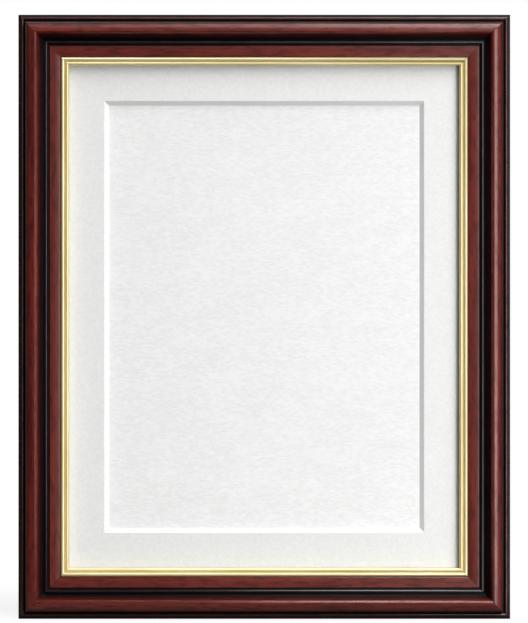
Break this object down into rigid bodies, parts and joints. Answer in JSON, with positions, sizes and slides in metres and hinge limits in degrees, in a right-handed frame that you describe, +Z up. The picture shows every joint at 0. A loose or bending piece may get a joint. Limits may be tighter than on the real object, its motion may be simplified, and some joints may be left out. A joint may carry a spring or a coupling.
{
  "type": "certificate frame",
  "caption": "Portrait wall frame of mitred mahogany moulding with a gilt sight edge, glazed over a bevelled window mount and a blank certificate, its back panel held by turn buttons.",
  "frame": {"origin": "middle notch of the hanger, on the plane of the wall that the hanger and the bumpers touch", "axes": "+Z up along the frame's height, +Y from the viewer into the wall, +X to the viewer's right"},
  "size_m": [0.3336, 0.0244, 0.4098],
  "materials": {
    "mahogany_moulding": "satin lacquer, black lines",
    "gilt_slip": "pale gilt",
    "v_nail_steel": "bright",
    "glazing": "clear",
    "mount_board": "matt, white core",
    "certificate_paper": "matt, laid",
    "linen_tape": "gummed linen",
    "backing_card": "matt",
    "hardboard": "smooth pressed",
    "plated_steel": "zinc plated",
    "brassed_steel": "brass plated",
    "bumper_rubber": "matt"
  },
  "bodies": {
    "frame": {"top_rail": "mahogany_moulding", "bottom_rail": "mahogany_moulding", "left_stile": "mahogany_moulding", "right_stile": "mahogany_moulding", "top_slip": "gilt_slip", "bottom_slip": "gilt_slip", "left_slip": "gilt_slip", "right_slip": "gilt_slip", "corner_v_nails": "v_nail_steel", "glazing": "glazing", "window_mount": "mount_board", "certificate": "certificate_paper", "hinge_tape": "linen_tape", "backing_board": "backing_card", "back_panel": "hardboard", "turn_button_screws": "plated_steel", "sawtooth_hanger": "brassed_steel", "hanger_nails": "brassed_steel", "wall_bumpers": "bumper_rubber"},
    "button_top_left": {"turn_button_top_left": "plated_steel"},
    "button_top_right": {"turn_button_top_right": "plated_steel"},
    "button_right_upper": {"turn_button_right_upper": "plated_steel"},
    "button_right_lower": {"turn_button_right_lower": "plated_steel"},
    "button_bottom_right": {"turn_button_bottom_right": "plated_steel"},
    "button_bottom_left": {"turn_button_bottom_left": "plated_steel"},
    "button_left_lower": {"turn_button_left_lower": "plated_steel"},
    "button_left_upper": {"turn_button_left_upper": "plated_steel"}
  },
  "joints": [
    {"name": "top_left_turn", "type": "hinge", "parent": "frame", "child": "button_top_left", "pos_m": [-0.075, -0.003, -0.0041], "axis": [0, 1, 0], "continuous": true},
    {"name": "top_right_turn", "type": "hinge", "parent": "frame", "child": "button_top_right", "pos_m": [0.075, -0.003, -0.0041], "axis": [0, 1, 0], "continuous": true},
    {"name": "right_upper_turn", "type": "hinge", "parent": "frame", "child": "button_right_upper", "pos_m": [0.1487, -0.003, -0.0959], "axis": [0, 1, 0], "continuous": true},
    {"name": "right_lower_turn", "type": "hinge", "parent": "frame", "child": "button_right_lower", "pos_m": [0.1487, -0.003, -0.2859], "axis": [0, 1, 0], "continuous": true},
    {"name": "bottom_right_turn", "type": "hinge", "parent": "frame", "child": "button_bottom_right", "pos_m": [0.075, -0.003, -0.3777], "axis": [0, 1, 0], "continuous": true},
    {"name": "bottom_left_turn", "type": "hinge", "parent": "frame", "child": "button_bottom_left", "pos_m": [-0.075, -0.003, -0.3777], "axis": [0, 1, 0], "continuous": true},
    {"name": "left_lower_turn", "type": "hinge", "parent": "frame", "child": "button_left_lower", "pos_m": [-0.1487, -0.003, -0.2859], "axis": [0, 1, 0], "continuous": true},
    {"name": "left_upper_turn", "type": "hinge", "parent": "frame", "child": "button_left_upper", "pos_m": [-0.1487, -0.003, -0.0959], "axis": [0, 1, 0], "continuous": true}
  ]
}
